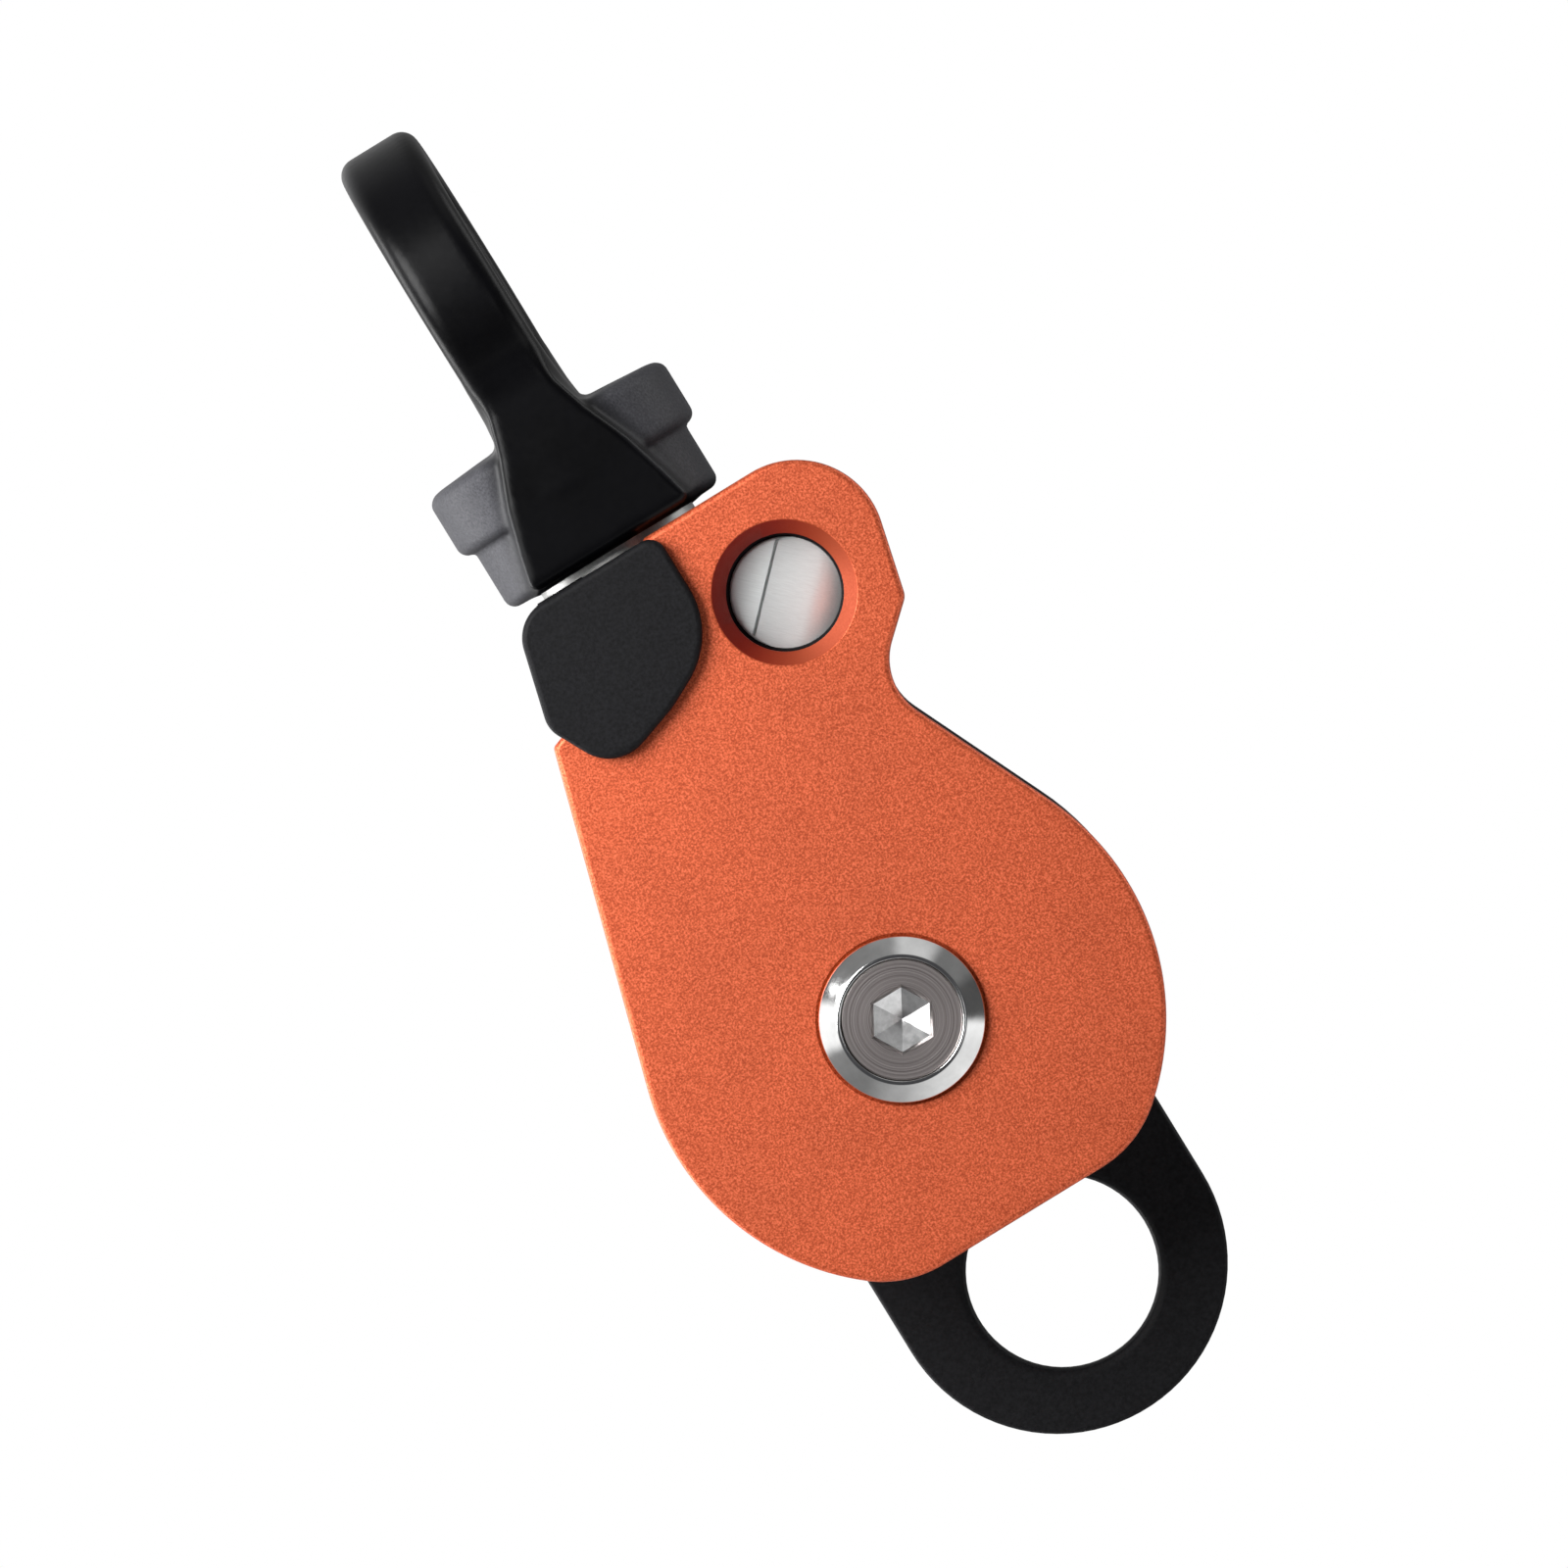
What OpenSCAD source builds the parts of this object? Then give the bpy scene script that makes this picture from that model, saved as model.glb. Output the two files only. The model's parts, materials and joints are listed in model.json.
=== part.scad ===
// Swivel pulley: one grooved wheel between two plates, hung from a swivel eye.
// The front plate swings open about the axle once the button is pressed in.
// Frame: origin at the centre of the eye's hole, +Z up the swivel axis,
// the axle along Y, the opening plate on the -Y side. Drawn with the button pressed.

/* [Whole] */
// Height from the axle up to the centre of the eye's hole
axle_drop = 86.5; // [80:0.5:100]
// Corner steps used when a round is drawn as a mesh
round_steps = 96; // [48:8:160]

/* [Side plate] */
// Radius of the plate's round end about the axle
plate_r = 26.9; // [24:0.1:30]
// Thickness of the opening plate
plate_t = 4.5; // [3:0.1:6]
// Height of the plate's top edge above the axle
plate_top = 55.5; // [50:0.5:60]
// Depth of the flat under the axle
plate_flat = 23.5; // [22:0.1:26]
// Radius of the fillets at the ends of that flat
flat_fillet = 12; // [6:0.5:13]
// Radius of the rounded lobe beside the button
lobe_r = 9; // [6:0.5:10]
// Radius of the finger notch in the right edge
finger_r = 6.35; // [4:0.05:8]
// Radius about the axle of the edge that passes under the ear
notch_r = 45; // [42:0.5:48]
// Sideways place of the notch wall beside the ear's neck
notch_x = 2.8; // [2:0.1:4]
// Radius of the plate's hole for the button
hole_r = 6.05; // [6:0.05:6.5]
// Sideways place of that hole
hole_x = 12.5; // [11:0.1:13]
// Height of that hole
hole_z = 43.3; // [42:0.1:45]
// Outer radius of the cone that widens that hole
relief_r = 7.4; // [7:0.1:8]
// Depth of that cone
relief_t = 2; // [0.5:0.1:3.5]

/* [Frame] */
// Gap between the two plates
gap = 17; // [14:0.5:20]
// Thickness of the back plate
back_t = 4.5; // [3:0.1:6]
// Play between faces that move past each other
play = 0.3; // [0.2:0.05:0.6]
// Radius about the axle of the block's lower edge, above the rope
block_r = 34; // [31:0.5:36]
// Size of the frame's outline compared with the plate's
inset = 0.98; // [0.95:0.005:0.995]
// Thickness of the ear in front of the plate
ear_t = 1.6; // [1:0.1:3]
// Radius about the axle of the neck's lower edge
neck_r = 45.35; // [45:0.05:48]
// Sideways place of the neck's right wall
neck_x = 2.5; // [2:0.1:3]
// Half width of the becket
becket_r = 17.55; // [14:0.05:20]
// Depth of the becket's centre below the axle
becket_drop = 29.9; // [26:0.1:32]
// Radius of the becket's hole
becket_hole_r = 9.9; // [8:0.1:12]
// Depth of that hole's centre below the axle
becket_hole_drop = 30.9; // [26:0.1:33]
// Height of the small chamfers on the becket
edge = 0.6; // [0.2:0.1:1]

/* [Eye] */
// Radius of the eye's hole
eye_hole_r = 12; // [10:0.5:14]
// Outer radius of the eye's ring
eye_r = 17.8; // [15:0.1:20]
// Thickness of the ring
eye_t = 8.8; // [7:0.1:11]
// Radius of the hub's flange
flange_r = 14; // [12:0.5:16]
// Radius of the hub's collar under the flange
collar_r = 12.6; // [11:0.1:14]
// Height of the collar's lower face above the axle
collar_bottom = 56.4; // [56:0.1:58]
// Height of the step between collar and flange
step_z = 63.3; // [62:0.1:65]
// Height of the flange's upper rim
flange_top = 70.4; // [69:0.1:72]
// Height of the hub's top at its middle
hub_top = 71.3; // [70:0.1:73]

/* [Swivel] */
// Radius of the post that joins frame and eye
post_r = 5; // [4:0.5:6]
// Radius of the post's head
post_head_r = 9.3; // [8:0.1:9.6]
// Radius of the bearing room in the hub
room_r = 10; // [9:0.1:10.5]
// Radius of the bearing's balls
thrust_ball_r = 1.2; // [1:0.05:1.5]
// Radius of the circle that the balls run on
thrust_pitch_r = 7.4; // [6.5:0.1:8]
// Number of balls
thrust_count = 12; // [8:1:16]

/* [Wheel] */
// Outer radius of the wheel
wheel_r = 23; // [21:0.5:24]
// Radius of the wheel where the rope sits
tread_r = 17.5; // [15:0.5:19]
// Radius of the rope groove
groove_r = 6.5; // [5:0.5:7]
// Width of the wheel
wheel_w = 16; // [14:0.5:18]
// Radius of the axle inside the bearing
journal_r = 6; // [5:0.5:7]
// Outer radius of the bearing's inner race
inner_race_r = 8; // [7:0.1:8.5]
// Inner radius of the bearing's outer race
outer_race_in = 10; // [9.5:0.1:10.5]
// Outer radius of the bearing
bearing_r = 12; // [11:0.5:14]
// Half width of the bearing
bearing_h = 4; // [3:0.5:5]
// Radius of the bearing's balls
ball_r = 1.55; // [1.2:0.05:1.8]
// Number of balls
ball_count = 11; // [7:1:13]

/* [Axle] */
// Radius of the polished head
head_r = 8.5; // [8:0.1:10]
// Height of that head in front of the plate
head_h = 1.9; // [1:0.1:3]
// Inner radius of the head's cone
head_cone_r = 6.6; // [6.3:0.1:7.5]
// Radius of the screw's head
screw_head_r = 6.2; // [5.5:0.1:6.5]
// Radius of the screw
screw_r = 4; // [3:0.5:5]
// Width across flats of the hexagon socket
hex_flats = 6; // [4:0.5:8]
// Radius of the plate's journal on the axle
plate_journal_r = 7.2; // [7:0.1:8]
// Outer radius of the plate's bush
bush_r = 8.3; // [8:0.1:9]

/* [Button] */
// Sideways place of the button
button_x = 12.5; // [10:0.1:14]
// Height of the button
button_z = 43.3; // [40:0.1:46]
// Radius of the button
button_r = 5.7; // [5:0.1:6.2]
// Length of the button's head
button_l = 5.6; // [4:0.1:7]
// Slope of the ramp on its face, in degrees
ramp_slope = 9; // [4:1:20]
// Slope of the steeper lip at the ramp's low end, in degrees
lip_slope = 35; // [20:1:50]
// Direction of the ramp's fall below the +X direction
ramp_turn = 45; // [0:5:90]
// Radius of the button's stem
stem_r = 2.5; // [2:0.1:3]
// Radius of the spring
spring_r = 5; // [4:0.1:5.4]
// Width of the spring's wire
wire = 0.9; // [0.5:0.1:1.2]
// Turns of the spring
spring_turns = 4; // [3:1:8]

/* [Hidden] */
$fn = round_steps;

orange = [0.80, 0.33, 0.17];
black = [0.12, 0.12, 0.13];
steel = [0.72, 0.72, 0.71];
dark_steel = [0.40, 0.40, 0.41];
bronze = [0.70, 0.52, 0.28];
seal_black = [0.16, 0.16, 0.17];
alloy = [0.66, 0.67, 0.69];

// Depths along Y
plate_in = -gap / 2;
plate_out = plate_in - plate_t;
ear_in = plate_out - play;
ear_out = ear_in - ear_t;
block_front = plate_in + play;
back_in = gap / 2;
back_out = back_in + back_t;
head_in = plate_out - play;
head_out = head_in - head_h;
step_y = plate_in + play;
button_face = plate_in + play + 0.05;
button_foot = button_face + button_l;
floor_y = 3.5;
recess_y = 7.5;
clip_y = 12.1;
clip_t = 0.7;

// Heights of the swivel's pieces above the axle
ring_bottom = 56.6;
ring_top = 60.4;
race_t = 1.2;
lower_race_top = ring_top + race_t;
ball_mid = lower_race_top + thrust_ball_r - 0.35;
upper_race_bottom = ball_mid + 0.85;
head_bottom = upper_race_bottom + race_t;
head_top = head_bottom + 2.6;
room_top = 69;
post_bottom = 40;
washer_bottom = 55.3;
washer_top = 56.3;
far = 80;

// ---- helpers ----

module from_axle() {
    translate([0, 0, -axle_drop])
        children();
}

// A solid of revolution about the axle, its outline given as [radius, depth]
module turned(points) {
    rotate([-90, 0, 0])
        rotate_extrude()
            polygon(points);
}

// A flat outline in the X-Z plane, from depth y0 to depth y1
module slab(y0, y1) {
    translate([0, y1, 0])
        rotate([90, 0, 0])
            linear_extrude(height = y1 - y0)
                children();
}

// A round hole or peg along Y
module along_y(r, y0, y1, x = 0, z = 0) {
    translate([x, y0, z])
        rotate([-90, 0, 0])
            cylinder(r = r, h = y1 - y0);
}

// A cone along Y, from radius r0 at depth y0 to radius r1 at depth y1
module cone_y(r0, r1, y0, y1, x = 0, z = 0) {
    translate([x, y0, z])
        rotate([-90, 0, 0])
            cylinder(r1 = r0, r2 = r1, h = y1 - y0);
}

function toward(a, b) = (b - a) / norm(b - a);
function half_angle(p, a, b) = acos(toward(p, a) * toward(p, b)) / 2;
function turn_of(p, a, b) = (p[0] - a[0]) * (b[1] - p[1]) - (p[1] - a[1]) * (b[0] - p[0]);
function fillet_start(p, a, b, r) = p + toward(p, a) * r / tan(half_angle(p, a, b));
function fillet_mid(p, a, b, r) =
    p + toward([0, 0], toward(p, a) + toward(p, b)) * r / sin(half_angle(p, a, b));

// An outline with rounded corners, its corners listed anticlockwise
module rounded(points, radii) {
    n = len(points);
    before = [for (i = [0 : n - 1]) points[(i + n - 1) % n]];
    after = [for (i = [0 : n - 1]) points[(i + 1) % n]];
    difference() {
        union() {
            polygon([
                for (i = [0 : n - 1])
                    each [
                        fillet_start(points[i], before[i], after[i], radii[i]),
                        fillet_start(points[i], after[i], before[i], radii[i])
                    ]
            ]);
            for (i = [0 : n - 1])
                if (turn_of(points[i], before[i], after[i]) > 0)
                    translate(fillet_mid(points[i], before[i], after[i], radii[i]))
                        circle(r = radii[i]);
        }
        for (i = [0 : n - 1])
            if (turn_of(points[i], before[i], after[i]) < 0)
                translate(fillet_mid(points[i], before[i], after[i], radii[i]))
                    circle(r = radii[i]);
    }
}

// ---- outlines, with the axle at [0, 0] ----

// Corner of the lobe, the corner below it, and the bottom of the finger notch
lobe_corner = [27.34, plate_top];
lip_corner = [22.76, 36.57];
notch_corner = [15.77, 30.27];
right_tangent = [24.48, 11.15];
left_tangent = [-25.83, 7.5];
left_corner = [-15.7, 42.4];
ear_top = 55.3;
fillet_x = sqrt((plate_r - flat_fillet) ^ 2 - (plate_flat - flat_fillet) ^ 2);
fillet_z = plate_flat - flat_fillet;
fillet_k = plate_r / (plate_r - flat_fillet);

// The round end about the axle, with its flat
module round_end() {
    difference() {
        circle(r = plate_r);
        translate([-far / 2, -far - fillet_z * fillet_k])
            square([far, far]);
    }
    for (side = [-1, 1])
        translate([side * fillet_x, -fillet_z])
            circle(r = flat_fillet);
    translate([-fillet_x, -plate_flat])
        square([2 * fillet_x, plate_flat]);
}

// The upper part right of a given line, with the lobe and the finger notch
module right_part(x0) {
    rounded(
        [
            [x0, 0],
            [12, 0],
            right_tangent,
            notch_corner,
            lip_corner,
            lobe_corner,
            [x0, plate_top]
        ],
        [0.5, 0.5, 0.5, finger_r, 1.75, lobe_r, 0.5]
    );
}

module side_plate_outline() {
    round_end();
    right_part(notch_x);
    intersection() {
        circle(r = notch_r);
        polygon([
            [0, 0],
            [notch_x + 2, 10],
            [notch_x + 2, 60],
            [left_corner[0] + 3.3, 54],
            left_tangent
        ]);
    }
}

// The frame's outline is a little smaller, so that the plate hides it
module frame_outline() {
    translate([2, plate_top])
        scale(inset)
            translate([-2, -plate_top]) {
                round_end();
                right_part(-1);
                polygon([
                    [0, 0],
                    [2, 10],
                    [2, plate_top],
                    [-11.9, plate_top],
                    left_tangent
                ]);
            }
}

module ear_outline() {
    difference() {
        rounded(
            [
                [-15.29, 43.94],
                [-11.46, 36.58],
                [-3.4, 39.2],
                [4.5, 43.2],
                [4.5, ear_top],
                [-12.34, ear_top]
            ],
            [2.5, 4.5, 7.5, 9, 1.8, 2.4]
        );
        // the widest round reaches past the top edge
        translate([-far / 2, ear_top])
            square([far, far]);
    }
}

// ---- eye and swivel ----

module eye_ring_section() {
    h = eye_t / 2;
    translate([eye_hole_r, 0])
        rounded(
            [[0, -h], [eye_r - eye_hole_r, -h], [eye_r - eye_hole_r, h], [0, h]],
            [1.4, 2, 2, 1.4]
        );
}

module foot_front() {
    polygon([
        [-4.4, 79],
        [-4.4, 74],
        [-4.7, 72],
        [-5.3, 70],
        [-6.2, 67.5],
        [-7.2, 65],
        [-8.5, 60.5],
        [-9.4, 57.2],
        [-9.1, 56.6],
        [9.1, 56.6],
        [9.4, 57.2],
        [8.5, 60.5],
        [7.2, 65],
        [6.2, 67.5],
        [5.3, 70],
        [4.7, 72],
        [4.4, 74],
        [4.4, 79]
    ]);
}

module foot_side() {
    polygon([
        [-15.6, 79],
        [-15, 72],
        [-14.8, 66],
        [-14.3, 60],
        [-13.8, 57.4],
        [-13, 56.6],
        [13, 56.6],
        [13.8, 57.4],
        [14.3, 60],
        [14.8, 66],
        [15, 72],
        [15.6, 79]
    ]);
}

module swivel_eye() {
    color(black)
        difference() {
            union() {
                rotate([0, 90, 0])
                    rotate_extrude()
                        eye_ring_section();
                from_axle()
                    rotate_extrude()
                        difference() {
                            rounded(
                                [
                                    [-6, collar_bottom],
                                    [collar_r, collar_bottom],
                                    [collar_r, step_z],
                                    [flange_r, step_z + 0.5],
                                    [flange_r, flange_top],
                                    [5.5, hub_top],
                                    [-6, hub_top]
                                ],
                                [0.1, 1.2, 0.4, 0.5, 1.3, 0.4, 0.1]
                            );
                            translate([-far, 0])
                                square([far, 2 * far]);
                        }
                difference() {
                    from_axle()
                        intersection() {
                            slab(-far / 2, far / 2)
                                foot_front();
                            rotate([0, 0, 90])
                                slab(-far / 2, far / 2)
                                    foot_side();
                        }
                    rotate([0, 90, 0])
                        cylinder(r = eye_hole_r + 2.4, h = far, center = true);
                }
            }
            from_axle()
                translate([0, 0, collar_bottom - 1])
                    cylinder(r = room_r, h = room_top - collar_bottom + 1);
        }
}

module retaining_ring() {
    color(steel)
        from_axle()
            difference() {
                translate([0, 0, ring_bottom])
                    cylinder(r = room_r, h = ring_top - ring_bottom);
                translate([0, 0, ring_bottom - 1])
                    cylinder(r = post_r + 1.4, h = ring_top - ring_bottom + 2);
                for (a = [0, 180])
                    rotate([0, 0, a])
                        translate([8.2, 0, ring_bottom - 1])
                            cylinder(r = 0.8, h = 2.2);
            }
}

module swivel_bush() {
    color(bronze)
        from_axle()
            difference() {
                translate([0, 0, ring_bottom])
                    cylinder(r = post_r + 1.4, h = ring_top - ring_bottom);
                translate([0, 0, ring_bottom - 1])
                    cylinder(r = post_r + 0.05, h = ring_top - ring_bottom + 2);
            }
}

module ball_groove() {
    translate([0, 0, ball_mid])
        rotate_extrude()
            translate([thrust_pitch_r, 0])
                circle(r = thrust_ball_r + 0.05);
}

module thrust_race(inner, outer, bottom) {
    difference() {
        translate([0, 0, bottom])
            cylinder(r = outer, h = race_t);
        translate([0, 0, bottom - 1])
            cylinder(r = inner, h = race_t + 2);
        ball_groove();
    }
}

module thrust_race_lower() {
    color(steel)
        from_axle()
            thrust_race(5.5, 9.6, ring_top);
}

module thrust_race_upper() {
    color(steel)
        from_axle()
            thrust_race(post_r, 9.3, upper_race_bottom);
}

module thrust_balls() {
    color(steel)
        from_axle()
            for (i = [0 : thrust_count - 1])
                rotate([0, 0, i * 360 / thrust_count])
                    translate([thrust_pitch_r, 0, ball_mid - 0.05])
                        sphere(r = thrust_ball_r);
}

module thrust_cage() {
    color(bronze)
        from_axle()
            difference() {
                translate([0, 0, ball_mid - 0.35])
                    cylinder(r = 9.2, h = 0.7);
                translate([0, 0, ball_mid - 1])
                    cylinder(r = 5.6, h = 2);
                for (i = [0 : thrust_count - 1])
                    rotate([0, 0, i * 360 / thrust_count])
                        translate([thrust_pitch_r, 0, ball_mid - 1])
                            cylinder(r = thrust_ball_r + 0.08, h = 2);
            }
}

module swivel_post() {
    color(dark_steel)
        from_axle()
            difference() {
                union() {
                    translate([0, 0, post_bottom])
                        cylinder(r = post_r, h = head_bottom - post_bottom + 0.5);
                    translate([0, 0, head_bottom])
                        cylinder(r = post_head_r, h = head_top - head_bottom);
                }
                along_y(1.5, -6, far, 0, 47);
                translate([0, 0, head_top - 1.6])
                    cylinder(r = 3, h = 3, $fn = 6);
            }
}

module lock_pin() {
    color(steel)
        from_axle()
            along_y(1.5, -6, back_out - 0.2, 0, 47);
}

module swivel_washer() {
    color(steel)
        from_axle()
            difference() {
                translate([0, 0, washer_bottom])
                    cylinder(r = 9.05, h = washer_top - washer_bottom);
                translate([0, 0, washer_bottom - 1])
                    cylinder(r = post_r + 0.1, h = 3);
            }
}

// ---- frame ----

module becket_outline() {
    translate([0, -becket_drop])
        circle(r = becket_r);
    translate([-becket_r, -becket_drop])
        square([2 * becket_r, becket_drop - 14]);
}

module frame() {
    color(black)
        from_axle()
            difference() {
                union() {
                    slab(back_in, back_out)
                        frame_outline();
                    slab(back_in, back_out)
                        becket_outline();
                    slab(block_front, back_in)
                        difference() {
                            frame_outline();
                            circle(r = block_r);
                        }
                    slab(ear_in, block_front)
                        difference() {
                            intersection() {
                                ear_outline();
                                translate([-20, 0])
                                    square([20 + neck_x, far]);
                            }
                            circle(r = neck_r);
                        }
                    slab(ear_out, ear_in)
                        ear_outline();
                }
                // the becket's hole, with chamfered rims
                along_y(becket_hole_r, 0, far, 0, -becket_hole_drop);
                cone_y(becket_hole_r + edge, becket_hole_r, back_in, back_in + edge, 0, -becket_hole_drop);
                cone_y(becket_hole_r, becket_hole_r + edge, back_out - edge, back_out, 0, -becket_hole_drop);
                // the axle nut's seat
                along_y(journal_r, 0, far);
                // the swivel post, its pin, and the washer's seat
                translate([0, 0, post_bottom - 0.2])
                    cylinder(r = post_r, h = far);
                along_y(1.5, -6, far, 0, 47);
                translate([0, 0, washer_bottom])
                    cylinder(r = 9.3, h = far);
                // the button's bore, its stem guide and the recess at the back
                along_y(button_r + 0.05, -12, floor_y, button_x, button_z);
                along_y(stem_r + 0.05, 0, far, button_x, button_z);
                along_y(4.6, recess_y, far, button_x, button_z);
            }
}

// ---- side plate ----

module side_plate() {
    color(orange)
        from_axle()
            difference() {
                slab(plate_out, plate_in)
                    side_plate_outline();
                along_y(bush_r, -far, far);
                along_y(hole_r, -far, far, hole_x, hole_z);
                cone_y(relief_r, hole_r, plate_out, plate_out + relief_t, hole_x, hole_z);
            }
}

module plate_bush() {
    color(bronze)
        from_axle()
            difference() {
                along_y(bush_r, plate_out, plate_in);
                along_y(plate_journal_r + 0.05, -far, far);
            }
}

// ---- wheel and bearing ----

module sheave() {
    w = wheel_w / 2;
    color(alloy)
        from_axle()
            difference() {
                turned([
                    [9.6, -w],
                    [wheel_r - 0.6, -w],
                    [wheel_r, -w + 0.6],
                    [wheel_r, w - 0.6],
                    [wheel_r - 0.6, w],
                    [bearing_r, w],
                    [bearing_r, bearing_h + 1.3],
                    [bearing_r + 0.6, bearing_h + 1.3],
                    [bearing_r + 0.6, bearing_h + 0.1],
                    [bearing_r, bearing_h + 0.1],
                    [bearing_r, -bearing_h],
                    [9.6, -bearing_h]
                ]);
                rotate([-90, 0, 0])
                    rotate_extrude()
                        translate([tread_r + groove_r, 0])
                            circle(r = groove_r);
            }
}

module race_groove() {
    rotate([-90, 0, 0])
        rotate_extrude()
            translate([(inner_race_r + outer_race_in) / 2, 0])
                circle(r = ball_r + 0.05);
}

module race(inner, outer) {
    difference() {
        along_y(outer, -bearing_h, bearing_h);
        along_y(inner, -far, far);
        race_groove();
    }
}

module bearing_outer_race() {
    color(steel)
        from_axle()
            race(outer_race_in, bearing_r);
}

module bearing_inner_race() {
    color(steel)
        from_axle()
            race(journal_r, inner_race_r);
}

module bearing_balls() {
    pitch = (inner_race_r + outer_race_in) / 2;
    color(steel)
        from_axle()
            for (i = [0 : ball_count - 1])
                rotate([0, i * 360 / ball_count, 0])
                    translate([0, 0, pitch])
                        sphere(r = ball_r);
}

module bearing_cage() {
    pitch = (inner_race_r + outer_race_in) / 2;
    color(bronze)
        from_axle()
            difference() {
                along_y(pitch + 0.4, -2, 2);
                along_y(pitch - 0.4, -far, far);
                for (i = [0 : ball_count - 1])
                    rotate([0, i * 360 / ball_count, 0])
                        translate([0, 0, pitch - 2])
                            cylinder(r = ball_r + 0.06, h = 4);
            }
}

module bearing_seal(side) {
    y0 = side < 0 ? -3.4 : 2.6;
    difference() {
        along_y(outer_race_in, y0, y0 + 0.8);
        along_y(inner_race_r + play, -far, far);
    }
}

module bearing_seal_front() {
    color(seal_black)
        from_axle()
            bearing_seal(-1);
}

module bearing_seal_back() {
    color(seal_black)
        from_axle()
            bearing_seal(1);
}

module bearing_circlip() {
    color(dark_steel)
        from_axle()
            difference() {
                along_y(bearing_r + 0.6, bearing_h + 0.1, bearing_h + 1.1);
                along_y(bearing_r - 1.2, -far, far);
                translate([-1.5, 0, 0])
                    cube([3, 20, 20]);
            }
}

// ---- axle ----

module spacer_front() {
    color(alloy)
        from_axle()
            difference() {
                along_y(inner_race_r - 0.1, step_y, -bearing_h);
                along_y(journal_r, -far, far);
            }
}

module spacer_back() {
    color(alloy)
        from_axle()
            difference() {
                along_y(inner_race_r - 0.1, bearing_h, back_in);
                along_y(journal_r, -far, far);
            }
}

module axle_sleeve() {
    seat = head_out + 6;
    color(steel)
        from_axle()
            turned([
                [screw_r + 0.1, seat],
                [screw_head_r + 0.05, seat],
                [screw_head_r + 0.05, head_out],
                [head_cone_r, head_out],
                [head_r - 0.25, head_in - 0.7],
                [head_r, head_in - 0.5],
                [head_r, head_in],
                [plate_journal_r, head_in],
                [plate_journal_r, step_y],
                [journal_r, step_y],
                [journal_r, back_in - 0.1],
                [screw_r + 0.1, back_in - 0.1]
            ]);
}

module axle_screw() {
    top = head_out + 0.35;
    seat = head_out + 6;
    color(dark_steel)
        from_axle()
            difference() {
                union() {
                    cone_y(screw_head_r - 0.3, screw_head_r, top, top + 0.3);
                    along_y(screw_head_r, top + 0.3, seat);
                    along_y(screw_r, seat - 0.2, back_out + 1.2);
                }
                translate([0, top - 1, 0])
                    rotate([-90, 0, 0])
                        cylinder(r = hex_flats / sqrt(3), h = 4.6, $fn = 6);
                cone_y(4.4, 3, top - 0.01, top + 1);
                cone_y(3, 0.3, top + 3.59, top + 4.6);
            }
}

module axle_nut() {
    color(steel)
        from_axle()
            difference() {
                turned([
                    [screw_r, back_in],
                    [journal_r, back_in],
                    [journal_r, back_out],
                    [head_r, back_out],
                    [head_r, back_out + 1.2],
                    [head_r - 0.8, back_out + 2],
                    [screw_r, back_out + 2]
                ]);
                for (a = [0, 180])
                    rotate([0, a, 0])
                        along_y(0.9, back_out + 0.6, far, 6.2, 0);
            }
}

// ---- button ----

// Takes away what lies in front of a plane that falls towards the button's lower right side
module slope_cut(start, sunk, slope) {
    translate([button_x, button_face, button_z])
        rotate([0, ramp_turn, 0])
            translate([start, sunk, 0])
                rotate([0, 0, slope])
                    translate([0, -far, -far / 2])
                        cube([far, far, far]);
}

module button_plunger() {
    color(steel)
        from_axle() {
            difference() {
                union() {
                    cone_y(button_r - 0.5, button_r, button_face, button_face + 0.5, button_x, button_z);
                    along_y(button_r, button_face + 0.5, button_foot, button_x, button_z);
                    along_y(stem_r, button_foot - 0.5, clip_y, button_x, button_z);
                    along_y(1.9, clip_y - 0.5, clip_y + clip_t, button_x, button_z);
                    along_y(stem_r, clip_y + clip_t, back_out - 0.05, button_x, button_z);
                }
                slope_cut(-2.1, 0.2, ramp_slope);
                slope_cut(3.4, 0.2 + 5.5 * tan(ramp_slope), lip_slope);
            }
        }
}

// A coil of half rings, tilted to and fro so that each ends where the next begins, with a small
// round swelling over each joint
module button_spring() {
    h = floor_y - button_foot;
    coil_r = spring_r - wire / 2;
    joint_r = wire / 2 + 0.05;
    pitch = (h - 2 * joint_r) / spring_turns;
    tilt = asin(pitch / (4 * coil_r));
    color(steel)
        from_axle()
            translate([button_x, button_foot + joint_r, button_z])
                rotate([-90, 0, 0]) {
                    for (i = [0 : 2 * spring_turns - 1])
                        translate([0, 0, (i / 2 + 0.25) * pitch])
                            rotate([0, i % 2 == 0 ? tilt : -tilt, 0])
                                rotate([0, 0, i % 2 == 0 ? 0 : 180])
                                    rotate_extrude(angle = 180)
                                        translate([coil_r, 0])
                                            circle(r = wire / 2);
                    for (i = [0 : 2 * spring_turns])
                        translate([(i % 2 == 0 ? 1 : -1) * coil_r * cos(tilt), 0, i * pitch / 2])
                            sphere(r = joint_r);
                }
}

module button_clip() {
    color(dark_steel)
        from_axle()
            difference() {
                along_y(4, clip_y, clip_y + clip_t, button_x, button_z);
                along_y(1.9, -far, far, button_x, button_z);
                translate([button_x - 1.2, 0, button_z])
                    cube([2.4, 20, 10]);
            }
}

swivel_eye();
retaining_ring();
swivel_bush();
thrust_race_lower();
thrust_balls();
thrust_cage();
thrust_race_upper();
swivel_post();
lock_pin();
swivel_washer();
frame();
side_plate();
plate_bush();
sheave();
bearing_outer_race();
bearing_inner_race();
bearing_balls();
bearing_cage();
bearing_seal_front();
bearing_seal_back();
bearing_circlip();
spacer_front();
spacer_back();
axle_sleeve();
axle_screw();
axle_nut();
button_plunger();
button_spring();
button_clip();
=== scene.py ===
import json
import math

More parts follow.
